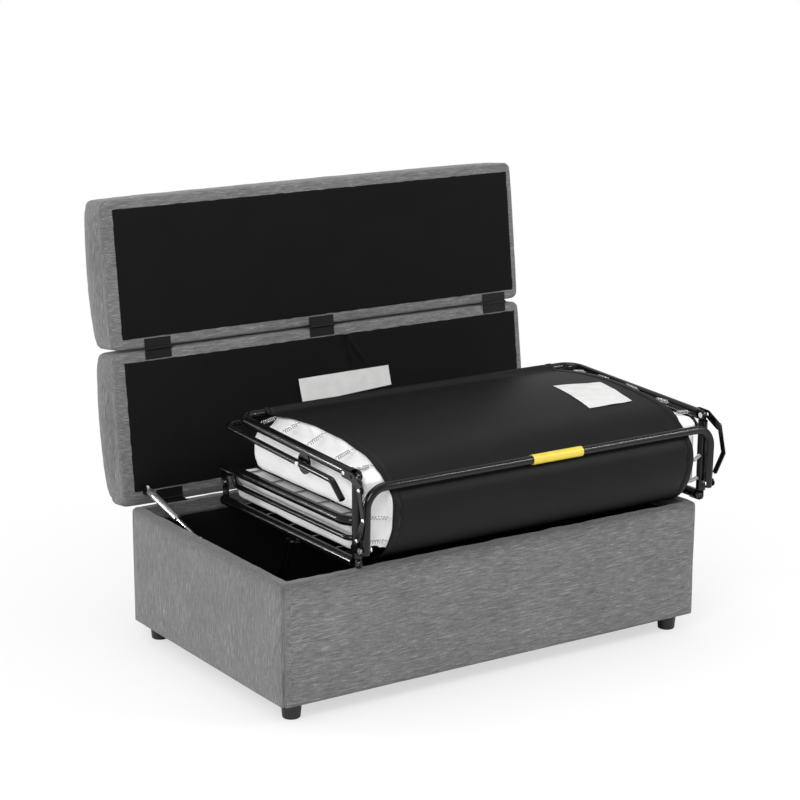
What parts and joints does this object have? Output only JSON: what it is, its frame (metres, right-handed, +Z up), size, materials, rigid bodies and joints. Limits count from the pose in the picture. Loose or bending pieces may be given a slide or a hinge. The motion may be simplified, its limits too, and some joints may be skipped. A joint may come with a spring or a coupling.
{
  "type": "storage sofa bed",
  "caption": "Upholstered storage ottoman sofa bed: box on feet, padded folding lid on gas struts, and a folded steel bed with deck, springs and mattress.",
  "frame": {"origin": "middle of the overall bounding box's underside, on the floor the feet stand on", "axes": "+X to the sitter's left along the long side, to the right in the front view; +Y to the rear, where the lid is hinged; +Z up"},
  "size_m": [1.1604, 0.885, 0.9911],
  "materials": {
    "upholstery": "woven, slubbed grey",
    "lining": "black non-woven cloth",
    "board": "raw board, hidden",
    "deck_cloth": "black woven deck cloth",
    "ticking": "white mattress cloth",
    "black_tube": "gloss black paint",
    "rivets": "dark zinc",
    "spring_wire": "bright wire",
    "hinge_metal": "black",
    "steel": "plain steel",
    "strut_metal": "silver",
    "foot_plastic": "black",
    "yellow_plastic": "yellow"
  },
  "bodies": {
    "box": {"front_cover": "upholstery", "rear_cover": "upholstery", "left_cover": "upholstery", "right_cover": "upholstery", "front_board": "board", "rear_board": "board", "side_boards": "board", "floor_board": "board", "box_liner": "lining", "bottom_cloth": "lining", "feet": "foot_plastic", "foot_bolts": "steel", "foot_tee_nuts": "steel", "rear_hinge_box_leaves": "hinge_metal", "rear_hinge_pins": "steel", "strut_box_brackets": "hinge_metal"},
    "lid_back": {"lid_back_core": "board", "lid_back_pad": "upholstery", "lid_back_dust_cover": "lining", "rear_hinge_lid_leaves": "hinge_metal", "fold_hinge_back_leaves": "hinge_metal", "fold_hinge_pins": "steel", "strut_lid_brackets": "hinge_metal"},
    "lid_front": {"lid_front_core": "board", "lid_front_pad": "upholstery", "lid_front_dust_cover": "lining", "fold_hinge_front_leaves": "hinge_metal"},
    "strut_cylinder_left": {"strut_cylinder_left": "strut_metal"},
    "strut_rod_left": {"strut_rod_left": "steel"},
    "strut_cylinder_right": {"strut_cylinder_right": "strut_metal"},
    "strut_rod_right": {"strut_rod_right": "steel"},
    "bed_base": {"base_rail_left": "black_tube", "base_rail_right": "black_tube", "base_cross_tubes": "black_tube", "base_deck": "deck_cloth", "base_mattress": "ticking", "base_springs": "spring_wire", "base_rivets": "rivets"},
    "prop_leg_left": {"prop_leg_left": "black_tube"},
    "prop_leg_right": {"prop_leg_right": "black_tube"},
    "bed_head": {"head_frame": "black_tube", "head_leg": "black_tube", "head_deck": "deck_cloth", "head_mattress": "ticking", "head_springs": "spring_wire"},
    "bed_knee": {"knee_rails": "black_tube", "knee_rivets": "rivets", "knee_deck": "deck_cloth", "knee_mattress": "ticking", "knee_springs": "spring_wire"},
    "bed_tail": {"tail_frame": "black_tube", "tail_rivets": "rivets", "tail_deck": "deck_cloth", "tail_mattress": "ticking", "tail_springs": "spring_wire"},
    "front_leg": {"front_leg": "black_tube", "front_leg_sleeve": "yellow_plastic", "front_leg_links": "black_tube"},
    "tail_leg": {"tail_leg": "black_tube"}
  },
  "joints": [
    {"name": "lid_hinge", "type": "hinge", "parent": "box", "child": "lid_back", "pos_m": [-0.01715, 0.27347, 0.3094], "axis": [1, 0, 0], "range_deg": [0, 20]},
    {"name": "lid_fold", "type": "hinge", "parent": "lid_back", "child": "lid_front", "pos_m": [-0.01715, 0.31216, 0.65244], "axis": [1, 0, 0], "range_deg": [0, 75]},
    {"name": "bed_lift", "type": "slide", "parent": "box", "child": "bed_base", "axis": [0, 0, 1], "range_m": [0, 0.08]},
    {"name": "bed_unfold", "type": "hinge", "parent": "bed_base", "child": "bed_knee", "pos_m": [0.08585, -0.38453, 0.3173], "axis": [1, 0, 0], "range_deg": [0, 90]},
    {"name": "bed_tail_fold", "type": "hinge", "parent": "bed_knee", "child": "bed_tail", "pos_m": [0.08585, -0.38453, 0.5053], "axis": [1, 0, 0], "range_deg": [0, 90]},
    {"name": "bed_head_raise", "type": "hinge", "parent": "bed_base", "child": "bed_head", "pos_m": [0.08585, 0.17247, 0.3573], "axis": [1, 0, 0], "range_deg": [-16, 0]},
    {"name": "front_leg_fold", "type": "hinge", "parent": "bed_knee", "child": "front_leg", "pos_m": [0.08585, -0.41153, 0.3523], "axis": [1, 0, 0], "range_deg": [0, 78]},
    {"name": "tail_leg_fold", "type": "hinge", "parent": "bed_tail", "child": "tail_leg", "pos_m": [0.08585, -0.19172, 0.48902], "axis": [1, 0, 0], "range_deg": [0, 90]},
    {"name": "prop_leg_left_fold", "type": "hinge", "parent": "bed_base", "child": "prop_leg_left", "pos_m": [0.08585, -0.14553, 0.3003], "axis": [1, 0, 0], "range_deg": [0, 64]},
    {"name": "prop_leg_right_fold", "type": "hinge", "parent": "bed_base", "child": "prop_leg_right", "pos_m": [0.08585, -0.14553, 0.3003], "axis": [1, 0, 0], "range_deg": [-64, 0]},
    {"name": "strut_swing_left", "type": "hinge", "parent": "lid_back", "child": "strut_cylinder_left", "pos_m": [-0.52515, 0.26744, 0.34238], "axis": [1, 0, 0], "range_deg": [-21, 1]},
    {"name": "strut_slide_left", "type": "slide", "parent": "strut_cylinder_left", "child": "strut_rod_left", "axis": [0, -0.973, -0.2307], "range_m": [-0.012, 0.001]},
    {"name": "strut_swing_right", "type": "hinge", "parent": "lid_back", "child": "strut_cylinder_right", "pos_m": [0.49085, 0.26744, 0.34238], "axis": [1, 0, 0], "range_deg": [-21, 1]},
    {"name": "strut_slide_right", "type": "slide", "parent": "strut_cylinder_right", "child": "strut_rod_right", "axis": [0, -0.973, -0.2307], "range_m": [-0.012, 0.001]}
  ],
  "couplings": [
    {"joint": "bed_tail_fold", "follows": "bed_unfold", "ratio": 0.9744},
    {"joint": "bed_head_raise", "follows": "bed_unfold", "ratio": -0.16667},
    {"joint": "strut_swing_left", "follows": "lid_hinge", "ratio": -1.0172},
    {"joint": "strut_slide_left", "follows": "lid_hinge", "m_per_rad": -0.033094},
    {"joint": "strut_swing_right", "follows": "lid_hinge", "ratio": -1.0172},
    {"joint": "strut_slide_right", "follows": "lid_hinge", "m_per_rad": -0.033094}
  ]
}
